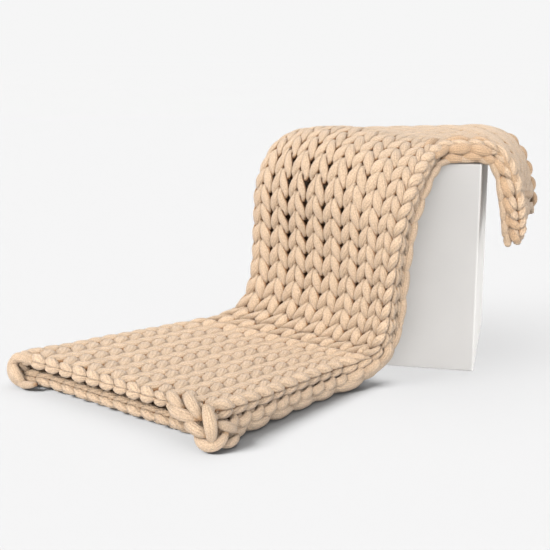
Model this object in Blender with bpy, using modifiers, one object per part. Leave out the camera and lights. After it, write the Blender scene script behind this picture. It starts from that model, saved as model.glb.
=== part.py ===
"""Chunky knitted blanket, folded lengthwise into two layers and draped over a plain box plinth.

The blanket is one solid: a U-shaped section of two layers, joined along the fold and open along
the near edge, swept through a table of stations. The first station lies at the end on the floor,
the last one at the end that hangs down the plinth's right side. Lengths are in metres, +Z is up,
and the origin is the middle of the plinth's base.
"""
from collections import namedtuple
import math

import bmesh
import bpy
import numpy as np

# ---- driving dimensions -------------------------------------------------------------------
PLINTH_WIDTH = 0.42
PLINTH_DEPTH = 0.52
PLINTH_HEIGHT = 0.595
PLINTH_EDGE = 0.005            # rounding of the plinth's edges
REST_GAP = 0.0003              # the blanket's underside above the plinth's top

TOP = PLINTH_HEIGHT + REST_GAP

# ---- how finely the blanket's solid is faceted ---------------------------------------------
RINGS = 58                     # sections along the blanket, without the rounded ends
RUN_STEPS = 8                  # facets across each flat run of a section
EDGE_STEPS = 4                 # facets round each layer's open edge
FOLD_STEPS = 8                 # facets round the outside of the fold
SLIT_STEPS = 2                 # facets round the inside of the fold
END_ROUNDING = ((0.0, 0.35), (0.12, 0.68), (0.32, 0.92))   # (courses from the end, share of thickness)

# Each station is one course of the knitting, numbered from the floor end. near and far are the two
# ends of the section's underside: near on the open edge, far on the fold. bow bulges the middle of
# the section away from the plinth, and lift raises it.
Station = namedtuple("Station", "course near far thickness gap bow lift")
STATIONS = (
    # floor run, widest at its end
    Station(0, (-0.345, -0.998, 0.000), (-1.028, -0.660, 0.000), 0.108, 0.022, 0.000, 0.000),
    Station(2, (-0.297, -0.893, 0.000), (-0.958, -0.558, 0.000), 0.098, 0.014, 0.000, 0.000),
    Station(5, (-0.230, -0.747, 0.000), (-0.868, -0.425, 0.000), 0.092, 0.008, 0.000, 0.000),
    Station(8, (-0.163, -0.605, 0.000), (-0.778, -0.305, 0.000), 0.088, 0.006, 0.000, 0.000),
    Station(10, (-0.110, -0.515, 0.000), (-0.710, -0.222, 0.000), 0.086, 0.006, 0.000, 0.000),
    # bend up from the floor
    Station(12, (-0.048, -0.458, 0.024), (-0.620, -0.160, 0.025), 0.085, 0.006, 0.000, 0.000),
    Station(14, (0.008, -0.430, 0.088), (-0.520, -0.145, 0.090), 0.085, 0.006, 0.000, 0.000),
    # hang in front of the plinth's left front corner
    Station(16, (0.030, -0.424, 0.170), (-0.455, -0.155, 0.180), 0.080, 0.006, 0.000, 0.000),
    Station(18, (0.038, -0.424, 0.258), (-0.434, -0.158, 0.285), 0.076, 0.006, 0.000, 0.000),
    Station(20, (0.045, -0.422, 0.345), (-0.432, -0.155, 0.390), 0.072, 0.006, 0.008, 0.000),
    Station(22, (0.056, -0.412, 0.430), (-0.430, -0.145, 0.490), 0.070, 0.006, 0.034, 0.000),
    # arch over the front edge, the fold taking the wide way round
    Station(24, (0.078, -0.374, 0.512), (-0.410, -0.100, 0.562), 0.068, 0.006, 0.072, 0.000),
    Station(26, (0.100, -0.312, 0.576), (-0.355, 0.000, 0.594), 0.060, 0.006, 0.038, 0.000),
    Station(28, (0.125, -0.268, TOP), (-0.250, 0.120, TOP), 0.058, 0.006, 0.008, 0.000),
    # flat on the plinth's top
    Station(30, (0.165, -0.255, TOP), (-0.090, 0.225, TOP), 0.058, 0.006, 0.003, 0.000),
    Station(31, (0.185, -0.252, TOP), (0.000, 0.255, TOP), 0.060, 0.006, 0.001, 0.000),
    Station(32, (0.203, -0.250, 0.597), (0.085, 0.280, 0.597), 0.059, 0.006, 0.001, 0.000),
    # over the right-hand edge and down
    Station(33, (0.226, -0.249, 0.592), (0.175, 0.297, 0.601), 0.057, 0.006, 0.006, 0.000),
    Station(34, (0.243, -0.249, 0.562), (0.245, 0.296, 0.577), 0.058, 0.006, 0.006, 0.000),
    Station(36, (0.255, -0.252, 0.475), (0.290, 0.262, 0.484), 0.062, 0.006, 0.000, 0.015),
    Station(38, (0.260, -0.255, 0.375), (0.306, 0.240, 0.405), 0.060, 0.010, 0.000, 0.050),
)

COLLECTION = "knit_blanket_on_plinth"


def clear_scene():
    """Remove whatever the file starts with."""
    for obj in list(bpy.data.objects):
        bpy.data.objects.remove(obj, do_unlink=True)


def new_collection(name):
    """A collection for the parts, linked to the scene."""
    collection = bpy.data.collections.new(name)
    bpy.context.scene.collection.children.link(collection)
    return collection


def material(name, colour, roughness):
    """A plain Principled material."""
    made = bpy.data.materials.new(name)
    made.use_nodes = True
    shader = made.node_tree.nodes["Principled BSDF"]
    shader.inputs["Base Color"].default_value = (*colour, 1.0)
    shader.inputs["Roughness"].default_value = roughness
    shader.inputs["Metallic"].default_value = 0.0
    return made


# ---- the drape: smooth curves through the stations -------------------------------------------
def station_rows():
    """The table as courses, and one row of numbers for each station."""
    courses = np.array([float(station.course) for station in STATIONS])
    rows = np.array([(*s.near, *s.far, s.thickness, s.gap, s.bow, s.lift) for s in STATIONS])
    return courses, rows


def station_slopes(courses, rows):
    """How fast each column changes at each station, for smooth curves that never overshoot.

    A column that turns round or stays level at a station has a slope of zero there, so the flat
    stretches stay flat. Elsewhere the slope is a weighted harmonic mean of the two steps beside it.
    """
    spans = np.diff(courses)[:, None]
    steps = np.diff(rows, axis=0) / spans
    before, after = steps[:-1], steps[1:]
    weight_before = spans[:-1] + 2 * spans[1:]
    weight_after = 2 * spans[:-1] + spans[1:]
    same_way = before * after > 0
    safe_before = np.where(same_way, before, 1.0)
    safe_after = np.where(same_way, after, 1.0)
    mean = (weight_before + weight_after) / (weight_before / safe_before + weight_after / safe_after)
    return np.vstack([steps[:1], np.where(same_way, mean, 0.0), steps[-1:]])


def drape_at(course):
    """Every column of the table at a course between stations, and its rate of change."""
    courses, rows = station_rows()
    slopes = station_slopes(courses, rows)
    i = int(np.clip(np.searchsorted(courses, course, side="right") - 1, 0, len(courses) - 2))
    span = courses[i + 1] - courses[i]
    s = (course - courses[i]) / span
    value = ((2 * s**3 - 3 * s**2 + 1) * rows[i] + (s**3 - 2 * s**2 + s) * span * slopes[i]
             + (3 * s**2 - 2 * s**3) * rows[i + 1] + (s**3 - s**2) * span * slopes[i + 1])
    rate = ((6 * s**2 - 6 * s) * (rows[i] - rows[i + 1]) / span
            + (3 * s**2 - 4 * s + 1) * slopes[i] + (3 * s**2 - 2 * s) * slopes[i + 1])
    return value, rate


def place(value, rate, across, height):
    """A point of one section: across runs from 0 at the open edge to 1 at the fold, height is
    the distance from the underside."""
    near, far = value[0:3], value[3:6]
    bow, lift = value[8], value[9]
    along = rate[0:3] * (1 - across) + rate[3:6] * across
    normal = np.cross(along, far - near)
    normal /= np.linalg.norm(normal)
    arch = 4 * across * (1 - across)
    flat = near * (1 - across) + far * across
    return flat + normal * (bow * arch + height) + np.array((0.0, 0.0, lift * arch))


# ---- the blanket's section -------------------------------------------------------------------
def arc(centre, radius, start, end, steps):
    """Points on an arc, in degrees, with both of its ends."""
    angles = np.radians(np.linspace(start, end, steps + 1))
    return [(centre[0] + radius * math.cos(a), centre[1] + radius * math.sin(a)) for a in angles]


def run(start, end, height):
    """Points inside a straight run, without its ends."""
    return [(x, height) for x in np.linspace(start, end, RUN_STEPS + 1)[1:-1]]


def section_outline(width, thickness, gap, share):
    """The U of two layers as (distance from the open edge, height) pairs, once round.

    share is how much of its thickness each layer has, below 1 only at the rounded ends.
    """
    middle = thickness / 2
    layer = (thickness - gap) / 4              # half of one layer's thickness
    bend = middle - layer                      # radius of a layer's middle round the fold
    half = layer * share
    fold = width - middle
    return (arc((layer, middle - bend), half, 90, 270, EDGE_STEPS)
            + run(layer, fold, middle - bend - half)
            + arc((fold, middle), bend + half, -90, 90, FOLD_STEPS)
            + run(fold, layer, middle + bend + half)
            + arc((layer, middle + bend), half, 90, 270, EDGE_STEPS)
            + run(layer, fold, middle + bend - half)
            + arc((fold, middle), bend - half, 90, -90, SLIT_STEPS)
            + run(fold, layer, middle - bend + half))


def blanket_rings():
    """(course, share of thickness) for every section, with both ends rounded."""
    first, last = STATIONS[0].course, STATIONS[-1].course
    inset = END_ROUNDING[-1][0] * 2
    start = [(first + step, share) for step, share in END_ROUNDING]
    body = [(course, 1.0) for course in np.linspace(first + inset, last - inset, RINGS)]
    end = [(last - step, share) for step, share in reversed(END_ROUNDING)]
    return start + body + end


def blanket_object(collection):
    """Loft the section through the drape into one closed solid."""
    mesh = bpy.data.meshes.new("blanket")
    bm = bmesh.new()
    rings = []
    for course, share in blanket_rings():
        value, rate = drape_at(course)
        width = np.linalg.norm(value[3:6] - value[0:3])
        outline = section_outline(width, value[6], value[7], share)
        rings.append([bm.verts.new(place(value, rate, x / width, z)) for x, z in outline])
    for lower, upper in zip(rings, rings[1:]):
        for k in range(len(lower)):
            after = (k + 1) % len(lower)
            bm.faces.new((lower[k], lower[after], upper[after], upper[k]))
    bm.faces.new(rings[0])
    bm.faces.new(rings[-1])
    bmesh.ops.recalc_face_normals(bm, faces=bm.faces)
    bmesh.ops.triangulate(bm, faces=bm.faces)
    bm.to_mesh(mesh)
    bm.free()
    mesh.shade_smooth()
    blanket = bpy.data.objects.new("blanket", mesh)
    blanket.data.materials.append(material("sand_knit", (0.72, 0.54, 0.38), 0.9))
    collection.objects.link(blanket)
    return blanket


def plinth_object(collection):
    """The box that the blanket falls over, standing on the floor."""
    mesh = bpy.data.meshes.new("plinth")
    bm = bmesh.new()
    bmesh.ops.create_cube(bm, size=1.0)
    bmesh.ops.scale(bm, vec=(PLINTH_WIDTH, PLINTH_DEPTH, PLINTH_HEIGHT), verts=bm.verts)
    bm.to_mesh(mesh)
    bm.free()
    plinth = bpy.data.objects.new("plinth", mesh)
    plinth.location = (0.0, 0.0, PLINTH_HEIGHT / 2)
    rounding = plinth.modifiers.new("edges", "BEVEL")
    rounding.width = PLINTH_EDGE
    rounding.segments = 3
    plinth.data.materials.append(material("white_paint", (0.80, 0.79, 0.77), 0.5))
    collection.objects.link(plinth)
    return plinth


def main():
    clear_scene()
    parts = new_collection(COLLECTION)
    plinth_object(parts)
    blanket_object(parts)


main()
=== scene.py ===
# %% [markdown]
# # Chunky knitted blanket over a box plinth
#
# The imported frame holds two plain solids: the blanket, folded in two and draped, and the plinth.
# This script dresses them. The real blanket is hand-knitted from stuffed jersey tubes as thick as
# two fingers. It could be faked with a bumpy texture on one surface, but its outline, its gaps
# and its shadows all come from the yarn, so here it is knitted stitch by stitch: every course is
# one tube, bent into loops in flat cloth coordinates and then laid on the drape, so that it fills
# the space of its solid. The plinth keeps its own shape and gets a painted finish.

# %% Imports and the frame
from collections import namedtuple
import math

import bpy
import numpy as np
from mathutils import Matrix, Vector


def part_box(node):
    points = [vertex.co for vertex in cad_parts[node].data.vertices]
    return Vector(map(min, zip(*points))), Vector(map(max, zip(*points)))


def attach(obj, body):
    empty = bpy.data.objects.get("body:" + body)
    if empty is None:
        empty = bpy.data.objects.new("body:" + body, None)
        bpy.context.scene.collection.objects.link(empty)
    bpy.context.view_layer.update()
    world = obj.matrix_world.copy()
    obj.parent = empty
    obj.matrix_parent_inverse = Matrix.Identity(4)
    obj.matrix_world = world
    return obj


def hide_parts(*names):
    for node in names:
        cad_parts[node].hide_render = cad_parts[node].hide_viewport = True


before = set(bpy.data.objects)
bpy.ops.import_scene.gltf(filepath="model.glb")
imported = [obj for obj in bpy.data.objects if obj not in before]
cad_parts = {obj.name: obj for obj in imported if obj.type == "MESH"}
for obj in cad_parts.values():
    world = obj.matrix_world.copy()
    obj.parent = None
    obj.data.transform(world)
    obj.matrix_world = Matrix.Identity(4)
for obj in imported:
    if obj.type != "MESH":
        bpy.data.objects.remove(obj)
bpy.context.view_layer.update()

# %% [markdown]
# ## The cloth and its sizes
#
# Cloth coordinates are used throughout: **course** counts the rows of knitting from the floor end,
# **wale** counts the columns of stitches from the upper layer's near edge, round the fold, to the
# lower layer's near edge, and **depth** runs from -1 on a layer's hidden face to +1 on its outer
# face. Working in these numbers keeps the knitting simple: a flat stitch is always
# WALE x COURSE x 2 HALF millimetres, and one function bends it into place.

# %% Sizes of the cloth
WALE, COURSE, HALF = 62.0, 48.0, 18.5     # one flat stitch, mm
COURSES, WALES = 39.6, 18                 # rows of stitches; columns, both layers together
FOLD_WALE, FOLD_SHARE = 8, 0.90           # this wale's place across the upper layer
print("flat cloth: %.2f m long, %.2f m wide over both layers"
      % (COURSES * COURSE / 1000, WALES * WALE / 1000))

# %% [markdown]
# ## The drape
#
# The folded blanket lies on the floor, climbs the plinth, crosses its top and hangs over the far
# side. A cloth simulation could find such a shape, but it would not land on this one, and a knit
# this heavy hardly creases. So the drape is a table of stations, close to the one that the
# blanket's solid was made from: where the underside's near and far ends lie, how thick the folded
# blanket is, the gap between its layers, and how it bulges. A smooth curve without overshoot runs
# through each column of the table. The last station lets the free end's loops hang past the solid.

# %% The drape's stations
TOP = 0.5953                   # the underside's height on the plinth
LAST_STATION = 39.0            # stations run from 0 on the floor to this one at the free end
Station = namedtuple("Station", "course near far thickness gap bow lift", defaults=(0.0, 0.0))
STATIONS = tuple(Station(*row) for row in (
    (0, (-0.345, -0.998, 0.000), (-1.028, -0.660, 0.000), 0.108, 0.012),
    (2, (-0.297, -0.893, 0.000), (-0.958, -0.558, 0.000), 0.098, 0.010),
    (5, (-0.230, -0.747, 0.000), (-0.868, -0.425, 0.000), 0.092, 0.008),
    (8, (-0.163, -0.605, 0.000), (-0.778, -0.305, 0.000), 0.088, 0.006),
    (10, (-0.110, -0.515, 0.000), (-0.710, -0.222, 0.000), 0.086, 0.006),
    (12, (-0.048, -0.458, 0.024), (-0.620, -0.160, 0.025), 0.085, 0.006),
    (14, (0.008, -0.430, 0.088), (-0.520, -0.145, 0.090), 0.085, 0.006),
    (16, (0.030, -0.424, 0.170), (-0.455, -0.155, 0.180), 0.080, 0.006),
    (18, (0.038, -0.424, 0.258), (-0.434, -0.158, 0.285), 0.076, 0.006),
    (20, (0.045, -0.422, 0.345), (-0.432, -0.155, 0.390), 0.072, 0.006, 0.008),
    (22, (0.056, -0.412, 0.430), (-0.430, -0.145, 0.490), 0.070, 0.006, 0.034),
    (24, (0.078, -0.374, 0.512), (-0.410, -0.100, 0.562), 0.068, 0.006, 0.072),
    (26, (0.100, -0.312, 0.576), (-0.355, 0.000, 0.594), 0.060, 0.006, 0.038),
    (28, (0.125, -0.268, TOP), (-0.250, 0.120, TOP), 0.058, 0.006, 0.008),
    (30, (0.165, -0.255, TOP), (-0.090, 0.225, TOP), 0.058, 0.006, 0.003),
    (31, (0.185, -0.252, TOP), (0.000, 0.255, TOP), 0.060, 0.006, 0.001),
    (32, (0.203, -0.250, 0.597), (0.085, 0.280, 0.597), 0.059, 0.006, 0.001),
    (33, (0.226, -0.249, 0.592), (0.175, 0.297, 0.601), 0.057, 0.006, 0.006),
    (34, (0.243, -0.249, 0.562), (0.245, 0.296, 0.577), 0.058, 0.006, 0.006),
    (36, (0.260, -0.252, 0.475), (0.290, 0.262, 0.484), 0.060, 0.006, 0.000, 0.015),
    (38, (0.276, -0.255, 0.375), (0.306, 0.240, 0.405), 0.055, 0.008, 0.000, 0.050),
    (39, (0.282, -0.256, 0.362), (0.312, 0.236, 0.352), 0.052, 0.008, 0.000, 0.060),
))

# %% A smooth curve through the stations
NODES = np.array([float(s.course) for s in STATIONS])
ROWS = np.array([(*s.near, *s.far, s.thickness, s.gap, s.bow, s.lift) for s in STATIONS])
NEAR, FAR = slice(0, 3), slice(3, 6)          # columns of the table
THICKNESS, GAP, BOW, LIFT = 6, 7, 8, 9


def station_slopes():
    """How fast each column of the table changes at each station, without overshoot."""
    spans = np.diff(NODES)[:, None]
    steps = np.diff(ROWS, axis=0) / spans
    before, after = steps[:-1], steps[1:]
    weight_before = spans[:-1] + 2 * spans[1:]
    weight_after = 2 * spans[:-1] + spans[1:]
    same_way = before * after > 0
    mean = ((weight_before + weight_after)
            / (weight_before / np.where(same_way, before, 1.0)
               + weight_after / np.where(same_way, after, 1.0)))
    return np.vstack([steps[:1], np.where(same_way, mean, 0.0), steps[-1:]])


SLOPES = station_slopes()


def drape_at(station):
    """Every column of the table at many stations, and its rate of change."""
    i = np.clip(np.searchsorted(NODES, station, side="right") - 1, 0, len(NODES) - 2)
    span = (NODES[i + 1] - NODES[i])[:, None]
    s = (station - NODES[i])[:, None] / span
    value = ((2 * s**3 - 3 * s**2 + 1) * ROWS[i] + (s**3 - 2 * s**2 + s) * span * SLOPES[i]
             + (3 * s**2 - 2 * s**3) * ROWS[i + 1] + (s**3 - s**2) * span * SLOPES[i + 1])
    rate = ((6 * s**2 - 6 * s) * (ROWS[i] - ROWS[i + 1]) / span
            + (3 * s**2 - 4 * s + 1) * SLOPES[i] + (3 * s**2 - 2 * s) * SLOPES[i + 1])
    return value, rate


print("steepest change: %.3f m a course" % np.abs(SLOPES).max())

# %% [markdown]
# A point of the drape is found across a section, from the near edge to the fold, and then raised
# at right angles to the cloth. The bow and the lift are greatest midway, where nothing holds it.

# %% Points over the drape
def place(value, rate, across, height):
    """Points over a section's underside: across is 0 at the near edge and 1 at the fold."""
    near, far = value[:, NEAR], value[:, FAR]
    share = across[:, None]
    along = rate[:, NEAR] * (1 - share) + rate[:, FAR] * share
    normal = np.cross(along, far - near)
    normal /= np.linalg.norm(normal, axis=1, keepdims=True)
    arch = 4 * across * (1 - across)
    spot = near * (1 - share) + far * share + normal * (value[:, BOW] * arch + height)[:, None]
    spot[:, 2] += value[:, LIFT] * arch
    return spot


def distance_along(line):
    """The distance from a line's start to each of its points."""
    return np.concatenate([[0.0], np.cumsum(np.linalg.norm(np.diff(line, axis=0), axis=1))])


def outer_line(stations, across):
    """The outer face's line at one place across the upper layer."""
    value, rate = drape_at(stations)
    return place(value, rate, np.full(len(stations), across), value[:, THICKNESS])


FREE_TIP = outer_line(np.array([LAST_STATION]), 0.0)[0]
print("the free end's near tip hangs at", FREE_TIP.round(3))

# %% [markdown]
# ## Laying the cloth
#
# The stitches have to be spread over the drape without stretching them unevenly. The near edge
# and the fold each space their courses along their own length, because the fold has further to
# go round the plinth's corner. Then a section across the blanket is walked from the upper
# layer's near edge, round the fold, and back along the lower layer. Both near edges and both
# ends roll over, so that no cut ends of yarn show.

# %% Courses to stations
COURSE_KNOTS = ((0, 0.0), (10, 11.1), (16, 15.6), (26, 27.3), (38, 38.6), (39, COURSES))
SAMPLES, SMOOTHED = 761, 91    # points along a line, and how many of them one spacing is a mean of


def course_to_station(across):
    """A lookup from courses to stations for one line along the blanket."""
    stations = np.linspace(0.0, LAST_STATION, SAMPLES)
    length = distance_along(outer_line(stations, across))
    knots, counts = np.array(COURSE_KNOTS, float).T
    even = np.linspace(0.0, length[-1], SAMPLES)
    rate = np.gradient(np.interp(even, np.interp(knots, stations, length), counts), even)
    padded = np.pad(rate, SMOOTHED // 2, mode="edge")
    rate = np.convolve(padded, np.ones(SMOOTHED) / SMOOTHED, "valid")
    course = np.concatenate([[0.0], np.cumsum((rate[1:] + rate[:-1]) / 2)])
    course *= COURSES / course[-1]
    return course, np.interp(even, length, stations), length[-1]


NEAR_COURSE, NEAR_STATION, NEAR_LENGTH = course_to_station(0.03)
FAR_COURSE, FAR_STATION, FAR_LENGTH = course_to_station(0.93)
print("outer length near %.2f m, at the fold %.2f m" % (NEAR_LENGTH, FAR_LENGTH))

# %% [markdown]
# Soft yarn goes flat where it rests on something hard. Any point that would lie below the floor
# or in the plinth is moved out by the shortest way, which a collision in a simulation would do
# as well, but slowly.

# %% Clear of the floor and the plinth
CLEAR = 0.001                  # this far from the floor and the plinth, m


def off_supports(spot):
    """Flatten what rests on the floor or lies against the plinth."""
    spot[:, 2] = np.maximum(spot[:, 2], CLEAR)
    low, high = (np.array(corner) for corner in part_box("plinth"))
    low, high = low - CLEAR, high + CLEAR
    depths = np.stack([spot[:, 0] - low[0], high[0] - spot[:, 0],
                       spot[:, 1] - low[1], high[2] - spot[:, 2]], axis=1)
    inside = np.all(depths > 0, axis=1) & (spot[:, 1] < high[1])
    way = np.argmin(depths, axis=1)
    spot[:, 0] = np.where(inside & (way == 0), low[0], spot[:, 0])
    spot[:, 0] = np.where(inside & (way == 1), high[0], spot[:, 0])
    spot[:, 1] = np.where(inside & (way == 2), low[1], spot[:, 1])
    spot[:, 2] = np.where(inside & (way == 3), high[2], spot[:, 2])
    return spot


under_floor = off_supports(np.array([(-0.5, -0.8, -0.02)]))[0]
print("a point 20 mm under the floor goes to", under_floor)

# %% [markdown]
# In section a folded blanket is a long flat U: upper layer, half turn at the fold, lower layer.
# Two separate layers would leave a seam, so one path runs round the U and wales lie along it.

# %% The folded section
NEAR_LAP = -0.044              # how far the near edge's wale laps over the rim, of the fold wale's way
CROWDING = 0.003               # how much closer the near wales lie
Section = namedtuple("Section", "width thickness gap half middle bend fold run total")


def section_at(value):
    """The sizes of the folded section: half is half a layer, bend the radius of the fold."""
    width = np.linalg.norm(value[:, FAR] - value[:, NEAR], axis=1)
    thickness, gap = value[:, THICKNESS], value[:, GAP]
    half = (thickness - gap) / 4
    middle = thickness / 2
    bend = middle - half
    fold = width - middle
    run = fold - half
    return Section(width, thickness, gap, half, middle, bend, fold, run, 2 * run + math.pi * bend)


def way_round(wale, section):
    """How far round the section each wale lies, from the upper layer's near edge, in metres."""
    at_fold_wale = FOLD_SHARE * section.width - section.half
    upper_share = NEAR_LAP + (1 - NEAR_LAP) * wale / FOLD_WALE - CROWDING * wale * (FOLD_WALE - wale)
    return np.where(wale < FOLD_WALE, upper_share * at_fold_wale,
                    at_fold_wale + (wale - FOLD_WALE) / (WALES - 1 - FOLD_WALE)
                    * (section.total - at_fold_wale))


floor_end = section_at(drape_at(np.array([0.0]))[0])
print("round the floor end's section: %.2f m" % floor_end.total[0])

# %% [markdown]
# At the near edge the two layers close on each other. On the floor the lower one bulges more,
# and on the hang the upper one does, so the upper one's share of the rim changes on the way.

# %% The rim
EDGE_BAND = 0.045              # the layers close on each other this near to the edge, m
UPPER_RIM = ((6.0, 14.0), (0.44, 0.62))   # the upper layer's share of the rim, by station
RIM_GAP = 0.003                # how much the two rims press into each other, m


def half_layers(where, station, section):
    """Half the thickness of the layer at each point: one layer takes more of the near rim."""
    upper, lower = where <= section.run, where >= section.run + math.pi * section.bend
    from_edge = np.maximum(np.where(where < section.total / 2, where, section.total - where), 0.0)
    edge = np.exp(-(from_edge / EDGE_BAND) ** 2)
    split = 0.5 + edge * (np.interp(station, *UPPER_RIM) - 0.5)
    body = (section.thickness - section.gap * (1 - edge) + RIM_GAP * edge) / 2
    half = np.where(upper, split * body, np.where(lower, (1 - split) * body, section.half))
    return upper, lower, half


print("the upper layer takes %.0f%% of the rim on the floor and %.0f%% above it"
      % tuple(100 * share for share in UPPER_RIM[1]))

# %% [markdown]
# Now a stitch can be laid: its course gives a station, its wale a place round the section, and
# its depth goes out from there. Modifiers bend meshes too, but not round a fold and a rim at once.

# %% Cloth coordinates to space
ACROSS_BY_WALE = ([-0.5, 0.0, 8.3, 8.8, 9.3, WALES - 1.0, WALES - 0.5],
                  [0.0, 0.006, 0.94, 0.98, 0.94, 0.006, 0.0])
ROLL = 0.42                    # this many courses before either end the cloth rolls round its edge
LOWER_FROM = [8.0, 10.0]       # between these wales the lower layer begins
SET_BACK = 0.5                 # it ends this many courses short at the floor


def lay(course, wale, depth):
    """Cloth coordinates to points in space. All three are arrays of one length."""
    across = np.interp(wale, *ACROSS_BY_WALE)
    first = ROLL + np.interp(wale, LOWER_FROM, [0.0, SET_BACK])
    kept = np.clip(course, first, COURSES - ROLL)
    station = (np.interp(kept, NEAR_COURSE, NEAR_STATION) * (1 - across)
               + np.interp(kept, FAR_COURSE, FAR_STATION) * across)
    value, rate = drape_at(station)
    section = section_at(value)
    where = way_round(wale, section)
    upper, lower, half = half_layers(where, station, section)
    near_roll = np.clip(-where / half, 0.0, math.pi)
    far_roll = np.clip((where - section.total) / half, 0.0, math.pi)
    swing = np.clip((where - section.run) / section.bend, 0.0, math.pi)
    inward = np.clip(-where - half * math.pi, 0.0, None) + np.clip(
        where - section.total - half * math.pi, 0.0, None)
    x = np.where(upper, half + np.maximum(where, 0.0), section.fold + section.bend * np.sin(swing))
    x = np.where(lower, half + np.maximum(section.total - where, 0.0), x) + inward
    z = section.middle + section.bend * np.cos(swing)
    z = np.where(upper, section.thickness - half, np.where(lower, half, z))
    out_x = np.sin(swing) - np.sin(near_roll) * upper - np.sin(far_roll) * lower
    out_z = np.cos(swing) - (1 - np.cos(near_roll)) * upper + (1 - np.cos(far_roll)) * lower
    end_roll = np.clip((kept - course) * COURSE / 1000 / half, -math.pi, math.pi)
    rolled = np.cos(end_roll)
    x = x + out_x * depth * half * rolled
    z = z + out_z * depth * half * rolled
    spot = place(value, rate, x / section.width, z)
    along = rate[:, NEAR] * (1 - across[:, None]) + rate[:, FAR] * across[:, None]
    along /= np.linalg.norm(along, axis=1, keepdims=True)
    spot -= along * (np.sin(end_roll) * depth * half)[:, None]
    return off_supports(spot)


def laid(course, wale, depth):
    """Rings in cloth coordinates to rings of points in space."""
    return lay(course.ravel(), wale.ravel(), depth.ravel()).reshape(*course.shape, 3)


middle_of_run = lay(*(np.array([v]) for v in (6.0, 4.0, 1.0)))[0]
print("the middle of the floor run's face is at", middle_of_run.round(3))

# %% [markdown]
# ## One stitch
#
# A loop of yarn in a flat stitch: its foot lies behind, at the border with the next wale. The leg
# comes forward, swells and leans outward, and goes behind again to the loop's head. The knitting
# was worked towards the floor end, so heads point that way. Sines give the middle line, and the
# yarn's section changes along it, thick at mid-leg and pinched where it turns, because stuffed
# tube gathers there. Legs that press on each other go flat, so their sides are clamped at the
# borders of the columns.

# %% The loop
LEAN = 0.270                   # how far a leg leans, in wales
REACH = 0.77                   # half the height of a loop, in courses
BASE, SWING = -2.0, 9.0        # middle of the yarn: mean height, and rise of the legs, mm
THIN, FAT = 5.0, 18.5          # half width of the yarn at the loop's turns and at mid-leg, mm
LOW, HIGH = 5.0, 13.0          # the same for its half height
TUCK = 2.5                     # how far a leg's foot lies over the next course, mm


def loop(turn):
    """Middle line and half sizes of the yarn, in mm, for a turn of 2 pi a stitch."""
    foot = np.cos(turn)
    share = np.abs(np.sin(turn))
    x = (turn / (2 * math.pi) - 0.5 + LEAN * np.sin(2 * turn)) * WALE
    y = -REACH * foot * COURSE
    z = BASE + SWING * (2 * share - 1) + 2 * TUCK * foot * share**2
    wide = THIN + (FAT - THIN) * share**2.5
    tall = LOW + (HIGH - LOW) * share**1.2
    return np.stack([x, y, z], axis=1), wide, tall


print("a loop is %.0f mm high; its yarn swells from %.0f to %.0f mm"
      % (2 * REACH * COURSE, 2 * THIN, 2 * FAT))

# %% [markdown]
# The yarn itself is a tube of rings round that line. A curve object with a bevel would make one
# too, but it has one width both ways, and points of our own can be squeezed and bent later.

# %% The tube round a line
STEPS, SIDES = 28, 12          # rings of a stitch's tube, and facets round it
SEAM = 0.4                     # half the groove between two columns of legs, mm
PRESS_FROM, PRESS_OVER = 0.35, 0.2   # pressing begins at this share of a leg's rise; full after


def tube(line, wide, tall, up):
    """Rings of points round a line, as an array of lines x SIDES x 3."""
    ahead = np.gradient(line, axis=0)
    ahead /= np.linalg.norm(ahead, axis=1, keepdims=True)
    side = np.cross(ahead, up)
    side /= np.linalg.norm(side, axis=1, keepdims=True)
    rise = np.cross(side, ahead)
    angle = np.linspace(0, 2 * math.pi, SIDES, endpoint=False)[None, :, None]
    return (line[:, None] + wide[:, None, None] * np.cos(angle) * side[:, None]
            + tall[:, None, None] * np.sin(angle) * rise[:, None])


def squeeze(rings, turn):
    """Press each leg flat against its neighbours, so that the columns meet in straight seams."""
    middle = (np.clip(np.floor(turn / math.pi), turn[0] / math.pi, turn[-1] / math.pi - 1)
              * 0.5 - 0.25) * WALE
    share = np.clip((np.abs(np.sin(turn)) - PRESS_FROM) / PRESS_OVER, 0.0, 1.0)[:, None]
    room = WALE / 4 - SEAM
    pressed = np.clip(rings[..., 0] - middle[:, None], -room, room) + middle[:, None]
    rings[..., 0] += (pressed - rings[..., 0]) * share
    return rings


print("%d facets a stitch; a leg has %.1f mm of room" % (STEPS * SIDES, 2 * (WALE / 4 - SEAM)))

# %% [markdown]
# ## Where light gets in
#
# Deep between the stitches the cloth looks brown, both from shade and because light that gets out
# again has met the yarn many times. Every point of a tube therefore keeps a number, how open to
# the light it is, which its height in the stitch gives. The yarn's material reads it and paints
# that shade into the yarn's colour.

# %% Openness
SHUT, OPENING = 3.5, 8.0       # shut this far below the cloth's middle, open so much higher, mm
BACK_OPENING, BACK_LEAST = 10.0, 0.35   # the hidden side: open this far below, mm; never less


def openness(height):
    """How open to the light a tube's points are, 0 to 1, from their height in mm."""
    lift = np.sin(np.linspace(0, 2 * math.pi, SIDES, endpoint=False))[None, :]
    front = np.clip((height + SHUT) / OPENING, 0.0, 1.0)
    back = np.clip(-height / BACK_OPENING, BACK_LEAST, 1.0)
    return np.clip(0.5 + np.abs(lift), 0.0, 1.0) * np.where(lift < -0.1, back, front)


print("a tube's side at the middle height is open by %.2f" % openness(np.zeros((1, SIDES)))[0, 0])

# %% [markdown]
# ## The yarn's finish
#
# The cover is a matte cotton jersey with a soft bloom, so the shader is rough, hardly glossy and
# has a little sheen. Its colour is a ramp over the openness, which paints shade brown into the
# creases, multiplied by slow patches and by a fine speckle. The jersey's own knit is too small for
# geometry. It is a bump from waves that follow the yarn's texture coordinates: ribs along it, each
# a column of small V stitches.

# %% Shader helpers
def set_inputs(shader_node, inputs):
    """Set sockets by name, with _ for a space."""
    for key, value in inputs.items():
        shader_node.inputs[key.replace("_", " ")].default_value = value
    return shader_node


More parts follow.
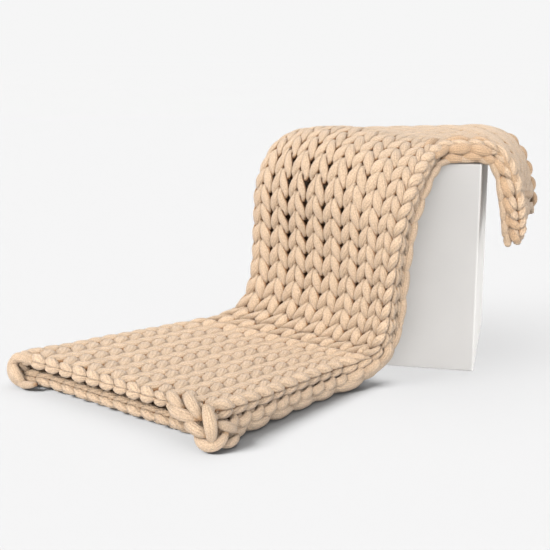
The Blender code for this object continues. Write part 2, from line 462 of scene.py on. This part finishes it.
def new_material(name, **inputs):
    """A material with its shader's own sockets set: the material, its tree and its shader."""
    made = bpy.data.materials.new(name)
    made.use_nodes = True
    print("material", name, inputs)
    return made, made.node_tree, set_inputs(made.node_tree.nodes["Principled BSDF"], inputs)


def node(tree, kind, **inputs):
    """A shader node with some of its sockets set."""
    return set_inputs(tree.nodes.new(kind), inputs)


def add_bump(tree, shader, height, strength, distance):
    """Relief from a height socket."""
    bump = node(tree, "ShaderNodeBump", Strength=strength, Distance=distance)
    tree.links.new(height, bump.inputs["Height"])
    tree.links.new(bump.outputs["Normal"], shader.inputs["Normal"])


def math_node(tree, operation, first, second=0.0):
    """A Math node fed by a socket, and by a socket or a number."""
    made = tree.nodes.new("ShaderNodeMath")
    made.operation = operation
    tree.links.new(first, made.inputs[0])
    if isinstance(second, float):
        made.inputs[1].default_value = second
    else:
        tree.links.new(second, made.inputs[1])
    return made.outputs["Value"]

# %% The yarn's colour
SAND = (0.478, 0.360, 0.260, 1.0)
# painted shade: the lower stops turn the yarn brown where it is less open to the light
CREASE_SHADE_RAMP = ((0.0, (0.07, 0.027, 0.009, 1.0)), (0.40, (0.22, 0.095, 0.034, 1.0)),
           (0.86, (0.435, 0.285, 0.172, 1.0)), (1.0, SAND))
EVEN = 0.465                   # the part of the tint that neither patches nor speckle change
PATCH_SCALE, PATCH_SHARE = 26.0, 0.16
SPECKLE_SCALE, SPECKLE_SHARE = 270.0, 0.95


def yarn_colour(tree, place_of):
    """Sand, with painted shade that turns it browner in its creases, in slow patches and with a fine
    speckle.
    """
    opened = tree.nodes.new("ShaderNodeAttribute")
    opened.attribute_name = "open"
    ramp = tree.nodes.new("ShaderNodeValToRGB")
    stops = ramp.color_ramp.elements
    for stop, (position, colour) in zip(list(stops), (CREASE_SHADE_RAMP[0], CREASE_SHADE_RAMP[-1])):
        stop.position, stop.color = position, colour
    for position, colour in CREASE_SHADE_RAMP[1:-1]:
        stops.new(position).color = colour
    tree.links.new(opened.outputs["Fac"], ramp.inputs["Fac"])
    patches = node(tree, "ShaderNodeTexNoise", Scale=PATCH_SCALE, Detail=2.0)
    speckle = node(tree, "ShaderNodeTexNoise", Scale=SPECKLE_SCALE, Detail=2.0)
    for texture in (patches, speckle):
        tree.links.new(place_of.outputs["Object"], texture.inputs["Vector"])
    spread = math_node(tree, "MULTIPLY_ADD", patches.outputs["Fac"], PATCH_SHARE)
    spread.node.inputs[2].default_value = EVEN
    grain = math_node(tree, "MULTIPLY", speckle.outputs["Fac"], SPECKLE_SHARE)
    tint = tree.nodes.new("ShaderNodeMix")
    tint.data_type, tint.blend_type = "RGBA", "MULTIPLY"
    tint.inputs["Factor"].default_value = 1.0
    tree.links.new(ramp.outputs["Color"], tint.inputs["A"])
    tree.links.new(math_node(tree, "ADD", spread, grain), tint.inputs["B"])
    return tint.outputs["Result"]


print("the tint's mean is about %.2f" % (EVEN + (PATCH_SHARE + SPECKLE_SHARE) / 2))

# %% [markdown]
# The relief is worked out with Math nodes and not with a Wave texture, because the small stitches
# have to run along each tube, however it bends.

# %% The jersey's relief
RIBS, STITCHES = 14.0, 160.0   # jersey ribs round the yarn, and small stitches a metre along it
V_SLANT, RIPPLE = 1.4, 0.35    # how far a small stitch's sides slant, and how high it rises


def jersey_relief(tree, place_of):
    """Ribs along the yarn, each a column of small V stitches."""
    along = tree.nodes.new("ShaderNodeSeparateXYZ")
    tree.links.new(place_of.outputs["UV"], along.inputs["Vector"])
    rib = math_node(tree, "FRACT", math_node(tree, "MULTIPLY", along.outputs["X"], RIBS))
    slant = math_node(tree, "ABSOLUTE", math_node(tree, "SUBTRACT", rib, 0.5))
    stitch = math_node(tree, "MULTIPLY", along.outputs["Y"], STITCHES)
    stitch = math_node(tree, "SUBTRACT", stitch, math_node(tree, "MULTIPLY", slant, V_SLANT))
    ripple = math_node(tree, "SINE", math_node(tree, "MULTIPLY", stitch, 2 * math.pi))
    groove = math_node(tree, "POWER", math_node(tree, "MULTIPLY", slant, 2.0), 3.0)
    return math_node(tree, "SUBTRACT", math_node(tree, "MULTIPLY", ripple, RIPPLE), groove)


print("a small stitch is %.1f mm long" % (1000 / STITCHES))

# %% The yarn's material
def yarn_material():
    """Matte stuffed jersey yarn."""
    made, tree, shader = new_material("sand_jersey_yarn", Roughness=0.92, Specular_IOR_Level=0.1,
                                      Sheen_Weight=0.2, Sheen_Roughness=0.4)
    place_of = tree.nodes.new("ShaderNodeTexCoord")
    tree.links.new(yarn_colour(tree, place_of), shader.inputs["Base Color"])
    add_bump(tree, shader, jersey_relief(tree, place_of), 0.9, 0.0020)
    return made


YARN = yarn_material()

# %% [markdown]
# ## From tubes to pieces
#
# Tubes of one part of the blanket are joined into one mesh, which is cheaper to handle than
# hundreds of objects. The mesh carries the openness as an attribute and, as texture coordinates,
# the way round the tube and the metres along it. Each piece rides on the body and takes the place
# of the blanket's solid, which is hidden.


def yarn_object(name, tubes):
    """One mesh from tubes given as (rings of points, openness)."""
    points, faces, opens, maps, first = [], [], [], [], 0
    for spots, opened in tubes:
        rings = spots.shape[0]
        points.append(spots.reshape(-1, 3))
        opens.append(opened.reshape(-1))
        length = distance_along(spots.mean(axis=1))
        i, j = (v.ravel() for v in np.meshgrid(np.arange(rings - 1), np.arange(SIDES), indexing="ij"))
        corners = ((i, j), (i, j + 1), (i + 1, j + 1), (i + 1, j))
        faces.append(np.stack([ring * SIDES + side % SIDES for ring, side in corners], axis=1) + first)
        maps.append(np.stack([np.stack([side / SIDES, length[ring]], 1) for ring, side in corners],
                             axis=1).reshape(-1, 2))
        first += rings * SIDES
    mesh = bpy.data.meshes.new(name)
    mesh.from_pydata(np.vstack(points).tolist(), [], np.vstack(faces).tolist())
    mesh.shade_smooth()
    mesh.attributes.new("open", "FLOAT", "POINT").data.foreach_set(
        "value", np.concatenate(opens).astype(np.float32))
    mesh.uv_layers.new(name="yarn").data.foreach_set("uv", np.vstack(maps).astype(np.float32).ravel())
    piece = bpy.data.objects.new(name, mesh)
    bpy.context.scene.collection.objects.link(piece)
    mesh.materials.append(YARN)
    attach(piece, "root")
    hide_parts("blanket")
    print("%s: %d tubes, %d faces" % (name, len(tubes), len(mesh.polygons)))
    return piece

# %% [markdown]
# ## The knitting
#
# Real hand knitting is uneven: every leg's height and thickness wander a little, from a seeded
# random generator, so each run gives the same blanket. The blanket's weight pulls the stitches
# open where it hangs, most of all below the plinth's edge near the fold, so there the yarn is
# thinner and its legs part. On the free end nothing pulls, so the legs bunch up and stand proud,
# and so do the rim's own legs. The tubes run on past the edge wales and end inside the cloth.

# %% One course
UNEVEN = 0.05                  # hand-knit irregularity
SLACK, SLACK_ROW, SLACK_WALE = 0.18, 22.0, 6.5   # pulled open on the hang's upper fold side
SLACK_ROWS, SLACK_WALES = 5, 2.5    # over so many courses and wales either way
STRETCH, STRETCH_ROW, STRETCH_ROWS = 0.07, 21.0, 6   # and a little all across the hang
BUNCH, BUNCH_ROW = 6.0, 32.0   # from this course on legs rise and feet sink by so many mm
RIM_RISE, RIM_SWELL = 4.0, 0.2      # how much the rim's leg is raised, mm, and thickened


def wander(turn, random, size):
    """A slow random value along a course, new at every leg."""
    knots = np.arange(turn[0], turn[-1] + math.pi, math.pi)
    return np.interp(turn, knots, random.normal(0.0, size, len(knots)))


def knit_course(row, random):
    """One course of loops, as rings of points in cloth coordinates, and their openness."""
    turn = np.linspace(-math.pi, 2 * math.pi * WALES + math.pi, STEPS * (WALES + 1) + 1)
    line, wide, tall = loop(turn)
    line[:, 1] += wander(turn, random, UNEVEN * COURSE)
    slack = SLACK * np.exp(-((row - SLACK_ROW) / SLACK_ROWS) ** 2
                           - ((turn / (2 * math.pi) - SLACK_WALE) / SLACK_WALES) ** 2)
    on_upper = turn < 2 * math.pi * FOLD_WALE
    slack += STRETCH * np.exp(-((row - STRETCH_ROW) / STRETCH_ROWS) ** 2) * on_upper
    line[:, 0] += slack * FAT * np.sin(turn)
    swell = 1 - slack + wander(turn, random, UNEVEN)
    rim_leg = np.where((turn > math.pi) & (turn < 2 * math.pi), -np.sin(turn), 0.0)
    line[:, 2] += RIM_RISE * rim_leg
    bunch = np.clip((row - BUNCH_ROW) / 2, 0.0, 1.0) * on_upper
    line[:, 2] += BUNCH * bunch * (2 * np.abs(np.sin(turn)) - 1)
    tall = tall * (1 + RIM_SWELL * rim_leg)
    rings = squeeze(tube(line, wide * swell, tall * swell, np.array((0.0, 0.0, 1.0))), turn)
    return (row - rings[..., 1] / COURSE, rings[..., 0] / WALE, rings[..., 2] / HALF,
            openness(rings[..., 2]))


print("the yarn is up to %.0f%% thinner on the hang" % (100 * (SLACK + STRETCH)))

# %% Knit the blanket
RANDOM = np.random.default_rng(11)
knitted = []
for row in np.arange(1.0, COURSES - 0.6):
    course, wale, depth, opened = knit_course(row, RANDOM)
    knitted.append((laid(course, wale, depth), opened))
yarn_object("knit_floor_run", knitted[:11])
yarn_object("knit_hang", knitted[11:25])
yarn_object("knit_top_and_free_end", knitted[25:])

# %% [markdown]
# ## Chains along the ends
#
# The cast-on and bind-off edges are chains: a single column of the same loops, which runs along the
# end and wraps round it. The same loop function makes them, turned a quarter and spread over
# some courses. A chain follows the blanket's width from the near edge, round the fold, to the
# lower layer's near edge.

# %% End chains
CHAIN_FROM, CHAIN_TO = -0.6, WALES - 0.4   # the wales at which a chain begins and ends
LOWER_CHAIN = 0.15             # the chain lies this many courses further in on the lower layer


def end_chain(course, links, spread, size, random, way=1.0):
    """Chain links along one end, centred on a course, each spread over some courses."""
    tubes = []
    pitch = (CHAIN_TO - CHAIN_FROM) / links
    for link in range(links):
        turn = np.linspace(0, 2 * math.pi, STEPS + 1)
        line, wide, tall = loop(turn)
        swell = size * (1 + random.normal(0, UNEVEN))
        rings = squeeze(tube(line, wide * swell, tall * swell, np.array((0.0, 0.0, 1.0))), turn)
        wale = CHAIN_FROM + (link + 0.5 - way * rings[..., 1] / COURSE) * pitch
        lower = np.interp(wale, LOWER_FROM, [0.0, LOWER_CHAIN]) * np.sign(COURSES / 2 - course)
        tubes.append((laid(course + lower + rings[..., 0] / WALE * spread, wale,
                           rings[..., 2] / HALF),
                      openness(rings[..., 2])))
    return tubes


yarn_object("bind_off_chain", end_chain(-0.28, 32, 1.30, 1.10, RANDOM, way=-1.0))
yarn_object("cast_on_chain", end_chain(COURSES - 0.05, 22, 1.25, 1.0, RANDOM))

# %% [markdown]
# ## Strands
#
# Edges and knots don't follow the grid of stitches. They are laid one by one: each strand is a
# Bezier curve through a few points of the cloth, raised above it, with a tube that is thickest at
# its middle and sinks into the knitting at both ends.

# %% Single strands
STRAND_STEPS = 24              # rings along a strand
ROOT = 8                       # a strand's ends lie so high over the cloth's middle, mm


def at(course, wale, depth):
    """One point of the cloth, with depth in mm."""
    return lay(*(np.array([float(v)]) for v in (course, wale, depth / HALF)))[0]


def outward(course, wale):
    """The way out of the cloth at one point."""
    way = at(course, wale, HALF) - at(course, wale, 0)
    return way / np.linalg.norm(way)


def strand(knots, wide, tall, up, blunt=0.6):
    """A length of yarn bent through points in space, thickest at its middle; sizes in mm."""
    share = np.linspace(0.0, 1.0, STRAND_STEPS + 1)
    knots = np.array(knots)
    order = len(knots) - 1
    weights = np.stack([math.comb(order, i) * share**i * (1 - share)**(order - i)
                        for i in range(order + 1)], axis=1)
    swell = 0.15 + 0.85 * np.sin(math.pi * (0.02 + 0.96 * share))**blunt
    rings = tube(weights @ knots, swell * wide / 1000, swell * tall / 1000, np.array(up))
    rings = off_supports(rings.reshape(-1, 3)).reshape(rings.shape)
    # painted shade: the colour darkens towards both ends, where the strand sinks into the knitting
    return rings, np.repeat(np.clip(1.5 * swell, 0.3, 1.0)[:, None], SIDES, axis=1)


def along_cloth(start, rise, end, wide, tall):
    """A strand from one place of the cloth to another, both (course, wale), raised between, mm."""
    (c0, w0), (c1, w1) = start, end
    knots = [at(c0, w0, ROOT), at(c0, w0, rise) * 0.7 + at(c1, w1, rise) * 0.3,
             at(c0, w0, rise) * 0.3 + at(c1, w1, rise) * 0.7, at(c1, w1, ROOT)]
    up = outward(c0, w0) + outward(c1, w1)
    return strand(knots, wide, tall, up / np.linalg.norm(up))


print("the cloth's way out midway up the hang:", outward(20, 4).round(2))

# %% [markdown]
# ## The near edge
#
# Seen from the side, the folded blanket shows two selvedges. The lower layer's is a row of long
# links like overlapping lenses. Above it short plump stitches join the two layers, one a course.
# On the hang the links are thinner, because the weight draws them out.

# %% Selvedge links
LINK_TALL = 12                 # half height of a selvedge link, mm
BUMP_WIDE, BUMP_TALL, BUMP_RISE = 16, 13, 27   # half sizes of a rim stitch, and its height, mm
VARIES = 0.8                   # how much the width of both varies, mm


def selvedge(first, last, long, wide, proud, random):
    """Part of the lower layer's near edge: links of one length in courses, proud by so many mm."""
    links = []
    for course in np.arange(first, last, long):
        knots = [at(course - 0.45, WALES - 0.30, 2), at(course + 0.10 * long, WALES - 0.62, proud),
                 at(course + 0.85 * long, WALES - 0.78, proud), at(course + 1.15 * long, WALES - 1.0, 2)]
        links.append(strand(knots, wide + random.normal(0, VARIES), LINK_TALL,
                            outward(course + long / 2, WALES - 0.7), blunt=0.7))
    return links


def between_layers(course, upper, rise):
    """A point over the near rim, where the two layers meet; upper is its share of the upper one."""
    return upper * at(course, -0.48, rise) + (1 - upper) * at(course, WALES - 0.48, rise)


def rim_bumps(first, last, random):
    """Short plump stitches that join the two layers' near edges, one a course."""
    bumps = []
    for course in np.arange(first, last):
        knots = [between_layers(course - 0.52, 0.30, 6),
                 between_layers(course - 0.36, 0.35, BUMP_RISE),
                 between_layers(course + 0.36, 0.65, BUMP_RISE),
                 between_layers(course + 0.52, 0.70, 6)]
        up = outward(course, -0.5) + outward(course, WALES - 0.5)
        bumps.append(strand(knots, BUMP_WIDE + random.normal(0, VARIES), BUMP_TALL,
                            up / np.linalg.norm(up), blunt=0.35))
    return bumps

# %% Work the near edge
yarn_object("floor_selvedge", selvedge(0.9, 10.8, 1.8, 19, 21, RANDOM))
yarn_object("rim_bumps", rim_bumps(1.3, 14.0, RANDOM))
yarn_object("hanging_selvedge", selvedge(11.7, 12.6, 1.8, 19, 21, RANDOM)
            + selvedge(13.5, COURSES - 1.2, 1.65, 11, 14, RANDOM))

# %% [markdown]
# ## The free end's edge
#
# Where the blanket crosses the plinth and hangs over its far side, the near edge is pulled tight
# and its stitches lie over one another in big strands: some along the top, a braid down the near
# corner, and a few round the fold's corner behind. They lie close and shade one another, so they
# are a touch less open.

# %% Strands on the plinth and down the free end
def strands_on_top():
    """Strands of the near edge on the plinth."""
    return [along_cloth(*row) for row in (
        ((26.2, -0.1), 22, (28.8, 0.7), 13, 12),
        ((26.7, 0.9), 24, (28.6, 1.5), 12, 11),
        ((28.3, 0.8), 26, (30.2, 0.8), 13, 12),
        ((29.9, 1.1), 26, (31.6, 0.7), 13, 12),
        ((27.9, -0.2), 24, (29.7, -0.1), 16, 12),
        ((29.4, -0.1), 24, (31.2, -0.2), 16, 12),
        ((27.3, 17.6), 22, (29.2, 17.3), 15, 13),
        ((28.9, 17.5), 24, (30.7, 17.4), 15, 13),
        ((30.4, 17.4), 22, (32.0, 17.5), 14, 12),
    )]


def strands_down():
    """The braid of the near corner, down the free end."""
    first = strand([at(31.2, 0.2, 12), at(33.4, 0.2, 30), at(34.8, 0.2, 24), at(36.8, 0.2, 12)],
                   8, 9, outward(34, 0.2), blunt=0.3)
    return [first] + [strand([at(*point) for point in points], wide, tall, (0.0, -1.0, 0.1))
                      for wide, tall, *points in (
        (14, 12, (31.5, 17.6, 8), (32.0, 17.5, 26), (32.8, -0.45, 26), (33.4, -0.2, 8)),
        (14, 12, (33.3, 17.4, 8), (33.7, 17.5, 26), (34.4, -0.45, 26), (34.9, -0.2, 8)),
        (12, 12, (34.7, 17.4, 8), (35.0, 17.5, 26), (35.6, -0.45, 24), (36.1, -0.3, 8)),
        (9, 10, (36.0, 17.4, 8), (36.3, 17.5, 22), (37.0, 17.5, 22), (37.5, 17.5, 8)),
        (12, 12, (36.2, 17.7, 8), (36.7, -0.45, 24), (37.3, 0.0, 26), (37.9, 0.3, 8)),
        (12, 12, (37.6, -0.45, 8), (38.2, -0.4, 24), (38.9, -0.1, 24), (39.5, 0.1, 8)),
    )]

# %% Strands at the fold's corner
def strands_at_fold():
    """Strands at the fold's corner of the free end."""
    strands = [along_cloth((course - 0.45, 7.5), 30, (course + 0.50, 7.7), 11, 10)
               for course in (35.35, 36.1, 36.9, 37.75, 38.6)]
    strands.append(along_cloth((35.4, 1.4), 30, (38.4, 6.3), 11, 9))
    return strands


# painted shade: these strands' colour is made a touch darker, since they shade one another
EDGE_OPEN = 0.91               # these strands shade one another
free_end_edge = [(rings, EDGE_OPEN * opened)
                 for rings, opened in strands_on_top() + strands_down() + strands_at_fold()]
yarn_object("free_end_edge", free_end_edge)

# %% [markdown]
# ## The near corner on the floor
#
# The yarn's tail is worked over and under at this corner, which makes a loose knot of eight fat
# strands, with one that runs round the corner on the floor. A grid of stitches can't make it,
# so each strand is placed by points: mm along the end, along the near edge, and up.

# %% The corner knot
def corner(end, side, up):
    """A point by the near corner on the floor: metres along the end, along the near edge, and up."""
    start = np.array(STATIONS[0].near)
    along_end = np.array(STATIONS[0].far) - start
    along_side = np.array(STATIONS[1].near) - start
    return (start + end * along_end / np.linalg.norm(along_end)
            + side * along_side / np.linalg.norm(along_side) + np.array((0.0, 0.0, up)))


def corner_strands(rows, start=0.0, way=1):
    """Strands from rows of half width, half height, facing, bluntness and points, in mm."""
    return [strand([corner(start + way * end / 1000, side / 1000, up / 1000)
                    for end, side, up in points], wide, tall, facing, blunt)
            for wide, tall, facing, blunt, *points in rows]


def corner_knot():
    """The yarn's tail, worked over and under at the near corner of the floor end."""
    to_end, to_side, front = (-0.42, -0.91, 0.1), (0.90, -0.44, 0.1), (0.35, -0.94, 0.1)
    up_front = (-0.3, -0.7, 0.6)
    return corner_strands((
        (16, 13, to_end, 0.6, (140, -4, 76), (110, -20, 78), (75, -20, 72), (40, -4, 72)),
        (14, 12, up_front, 0.6, (155, 12, 106), (135, -8, 114), (110, -14, 100), (90, -4, 82)),
        (15, 12, up_front, 0.6, (97, 18, 106), (80, -8, 125), (45, -24, 106), (26, -12, 74)),
        (15, 12, to_end, 0.6, (84, -4, 60), (60, -22, 56), (30, -22, 44), (8, -10, 40)),
        (13, 12, to_side, 0.6, (-2, -4, 70), (-22, 18, 65), (-22, 46, 45), (-4, 70, 34)),
        (15, 13, front, 0.6, (52, -4, 34), (22, -34, 8), (-40, -18, 14), (-10, 36, 46)),
        (11, 11, to_side, 0.6, (-4, 12, 12), (-20, 30, 10), (-20, 58, 12), (-4, 80, 18)),
        (16, 13, front, 0.45, (22, -4, 110), (-6, -24, 102), (-20, -28, 64), (0, -10, 22)),
    ))


yarn_object("corner_knot", corner_knot())

# %% [markdown]
# ## The fold at the floor end
#
# At the other corner the fold shows its section: one fat strand rolls round its outside, and
# smaller ones close it inside and lead into the lower layer's chain. Their points are placed as
# the knot's are, but the first number is mm back from the fold.

# %% The fold's roll
def fold_roll():
    """The strands that finish the fold at the floor end: round its outside, and inside it."""
    length = np.linalg.norm(np.array(STATIONS[0].far) - np.array(STATIONS[0].near))
    to_end = (-0.44, -0.90, 0.0)
    return corner_strands((
        (14, 13, to_end, 0.4, (110, 16, 88), (-10, -10, 116), (-6, -8, -2), (60, 0, 14)),
        (14, 14, to_end, 0.4, (110, 14, 72), (40, -8, 104), (14, -2, 78), (20, 10, 50)),
        (18, 14, to_end, 0.6, (8, 4, 66), (26, -16, 60), (48, -16, 30), (64, 2, 12)),
        (11, 12, to_end, 0.6, (30, 4, 14), (55, -10, 12), (85, -10, 16), (110, 6, 22)),
    ), length, -1)


yarn_object("fold_roll", fold_roll())

# %% [markdown]
# ## The plinth's paint
#
# The plinth is a box in matt white emulsion. Its own mesh is right, so it only gets a material: an
# off-white that varies slowly with the cover of the paint, and a faint roller texture as bump.

# %% Paint
def paint_material():
    """Matte white emulsion with a faint roller texture and slightly uneven cover."""
    made, tree, shader = new_material("white_matt_paint", Roughness=0.7, Specular_IOR_Level=0.25)
    place_of = tree.nodes.new("ShaderNodeTexCoord")
    cover = node(tree, "ShaderNodeTexNoise", Scale=3.5, Detail=3.0)
    roller = node(tree, "ShaderNodeTexNoise", Scale=420.0, Detail=2.0)
    ramp = tree.nodes.new("ShaderNodeValToRGB")
    stops = ramp.color_ramp.elements
    stops[0].position, stops[0].color = 0.3, (0.500, 0.487, 0.472, 1.0)
    stops[1].position, stops[1].color = 0.7, (0.540, 0.527, 0.512, 1.0)
    for texture in (cover, roller):
        tree.links.new(place_of.outputs["Object"], texture.inputs["Vector"])
    tree.links.new(cover.outputs["Fac"], ramp.inputs["Fac"])
    tree.links.new(ramp.outputs["Color"], shader.inputs["Base Color"])
    add_bump(tree, shader, roller.outputs["Fac"], 0.12, 0.0005)
    return made


PAINT = paint_material()
plinth = bpy.data.objects["plinth"]
for slot in plinth.material_slots:
    slot.material = PAINT
print("plinth:", len(plinth.material_slots), "material slot")

# %% [markdown]
# ## The floor and the backdrop
#
# The studio is white all round, with no line where the floor ends. A floor that only reflects
# light would be blown out or grey, so this one glows: part of its brightness is its own, and the
# rest comes from lights that the blanket can shade. Far off it fades into pure glow, as bright as
# a dome behind everything, which only the camera sees.

# %% A glowing matt material
BACKDROP = 0.92                # brightness of the floor and of what is behind it
FLOOR_BASE, FLOOR_GLOW = 0.12, 0.04   # how much light the floor reflects, and how much it gives
FADE_FROM, FADE_TO = 1.5, 27.0   # the floor turns into pure glow between these distances, m


def plain_material(name, base, glow):
    """A dull material that glows white."""
    return new_material(name, Base_Color=(base, base, base, 1.0), Roughness=1.0,
                        Specular_IOR_Level=0.0, Emission_Color=(1.0, 1.0, 1.0, 1.0),
                        Emission_Strength=glow)[0]

# %% The floor
REACH_OF_FLOOR, DOME_RADIUS = 30, 29.5   # m
floor_mesh = bpy.data.meshes.new("floor")
floor_mesh.from_pydata([(x * REACH_OF_FLOOR, y * REACH_OF_FLOOR, -CLEAR)
                        for x, y in ((-1, -1), (1, -1), (1, 1), (-1, 1))], [], [(0, 1, 2, 3)])
floor = bpy.data.objects.new("floor", floor_mesh)
bpy.context.scene.collection.objects.link(floor)
floor_mesh.materials.append(plain_material("floor", FLOOR_BASE, FLOOR_GLOW))
tree = floor_mesh.materials[0].node_tree
place_of = tree.nodes.new("ShaderNodeTexCoord")
distance = tree.nodes.new("ShaderNodeVectorMath")
distance.operation = "LENGTH"
tree.links.new(place_of.outputs["Object"], distance.inputs[0])
for target, near_by, far_off in (("Base Color", FLOOR_BASE, 0.0),
                                 ("Emission Strength", FLOOR_GLOW, BACKDROP)):
    fade = node(tree, "ShaderNodeMapRange", From_Min=FADE_FROM, From_Max=FADE_TO, To_Min=near_by,
                To_Max=far_off)
    fade.interpolation_type = "SMOOTHERSTEP"
    tree.links.new(distance.outputs["Value"], fade.inputs["Value"])
    tree.links.new(fade.outputs["Result"], tree.nodes["Principled BSDF"].inputs[target])
print("floor fades out between %.1f and %.0f m" % (FADE_FROM, FADE_TO))

# %% The dome
bpy.ops.mesh.primitive_uv_sphere_add(segments=48, ring_count=24, radius=DOME_RADIUS)
dome = bpy.context.object
dome.name = "dome"
dome.data.materials.append(plain_material("dome", 0.0, BACKDROP))
dome.visible_diffuse = dome.visible_shadow = dome.visible_glossy = False
print("dome: %.1f m across" % dome.dimensions.x)

# %% [markdown]
# ## Light
#
# Soft light from all round fills the shadows. Three wide suns shape the stitches: one from the
# left and above, one from the front and one that skims in low, with a very wide fill from the
# right. One set of lights for everything would be simpler, but would burn out the white floor and
# throw hard shadows on the plinth. So each light falls only on what it is meant for, which a real
# studio can do only in part, with flags and cards. The plinth has three from the right, one of
# them not shaded by the blanket, and one from behind. The floor has three that only some pieces
# of the blanket shade, of a strength that makes the open floor as bright as the backdrop.

# %% Ambient light
AMBIENT = 0.80                 # strength of the light from all round
world = bpy.data.worlds.new("studio")
bpy.context.scene.world = world
world.use_nodes = True
background = world.node_tree.nodes["Background"]
background.inputs["Color"].default_value = (1.0, 1.0, 1.0, 1.0)
background.inputs["Strength"].default_value = AMBIENT
bpy.context.scene.view_settings.view_transform = "Standard"
print("ambient light: %.2f" % AMBIENT)

# %% A soft sun
def only(name, objects):
    """A collection of some objects, for a light to fall on or be shaded by."""
    made = bpy.data.collections.new(name)
    for item in objects:
        made.objects.link(item)
    return made


WHITE, WARM = (1.0, 1.0, 1.0), (1.0, 0.92, 0.81)


def sun(name, towards, strength, softness, falls_on, colour=WHITE):
    """A distant light from a direction, softness degrees wide, that falls on some objects only."""
    light = bpy.data.lights.new(name, "SUN")
    light.energy = strength
    light.angle = math.radians(softness)
    light.color = colour
    lamp = bpy.data.objects.new(name, light)
    x, y, z = towards
    lamp.rotation_euler = (math.atan2(math.hypot(x, y), z), 0.0, math.atan2(y, x) + math.pi / 2)
    bpy.context.scene.collection.objects.link(lamp)
    lamp.light_linking.receiver_collection = only(name + "_on", falls_on)
    print("%s: strength %.2f on %d objects" % (name, strength, len(falls_on)))
    return lamp

# %% Light the blanket
pieces = {item.name: item for item in bpy.data.objects
          if item.type == "MESH" and item.name not in ("blanket", "plinth", "floor", "dome")}
blanket = list(pieces.values())
sun("key_left", (-0.72, -0.10, 0.70), 1.65, 20.0, blanket)
sun("key_front", (-0.15, -0.82, 0.55), 2.10, 15.0, blanket, WARM)
sun("key_low", (-0.40, -0.90, 0.10), 1.35, 20.0, blanket, WARM)
sun("fill_right", (0.60, -0.72, 0.35), 1.75, 40.0, blanket)

# %% Light the plinth
sun("plinth_front", (0.50, -0.85, 0.15), 3.5, 90.0, [plinth])
sun("plinth_side", (1.00, -0.10, 0.12), 1.0, 30.0, [plinth])
past_blanket = sun("plinth_past_blanket", (1.00, -0.10, 0.12), 0.8, 30.0, [plinth])
past_blanket.light_linking.blocker_collection = only("plinth_past_blanket_shade", [plinth])
sun("plinth_back", (-0.60, 0.75, 0.30), 1.6, 60.0, [plinth])

# %% Light the floor
def floor_sun(name, towards, share, softness, shades):
    """A light that gives the floor a share of its brightness, and that some objects shade."""
    level = towards[2] / math.hypot(*towards)
    needed = BACKDROP - FLOOR_GLOW - FLOOR_BASE * AMBIENT
    lamp = sun(name, towards, needed * share * math.pi / FLOOR_BASE / level, softness, [floor])
    lamp.light_linking.blocker_collection = only(name + "_shade", shades)


FROM_LEFT = (-0.57, -0.55, 0.62)
on_floor = [pieces[name] for name in (
    "knit_floor_run", "bind_off_chain", "floor_selvedge", "corner_knot", "fold_roll")]
hanging = [pieces[name] for name in ("knit_hang", "rim_bumps", "hanging_selvedge")]
floor_sun("floor_left", FROM_LEFT, 0.66, 22.0, on_floor)
floor_sun("floor_left_faint", FROM_LEFT, 0.10, 30.0, on_floor + hanging)
floor_sun("floor_above", (0.0, 0.1, 1.0), 0.24, 80.0, on_floor)

# %% [markdown]
# ## The camera
#
# A long lens from a little above the blanket and to its right, level enough that the plinth's
# edges stay nearly upright. Its depth of field stays off.

# %% Camera
lens = bpy.data.cameras.new("view")
lens.lens = 70.69
lens.sensor_width = 36.0
camera = bpy.data.objects.new("view", lens)
camera.location = (0.327, -3.262, 0.967)
camera.rotation_euler = (math.radians(76.97), 0.0, math.radians(13.1))
bpy.context.scene.collection.objects.link(camera)
bpy.context.scene.camera = camera
print("camera %.2f m from the origin, lens %.1f mm" % (camera.location.length, lens.lens))
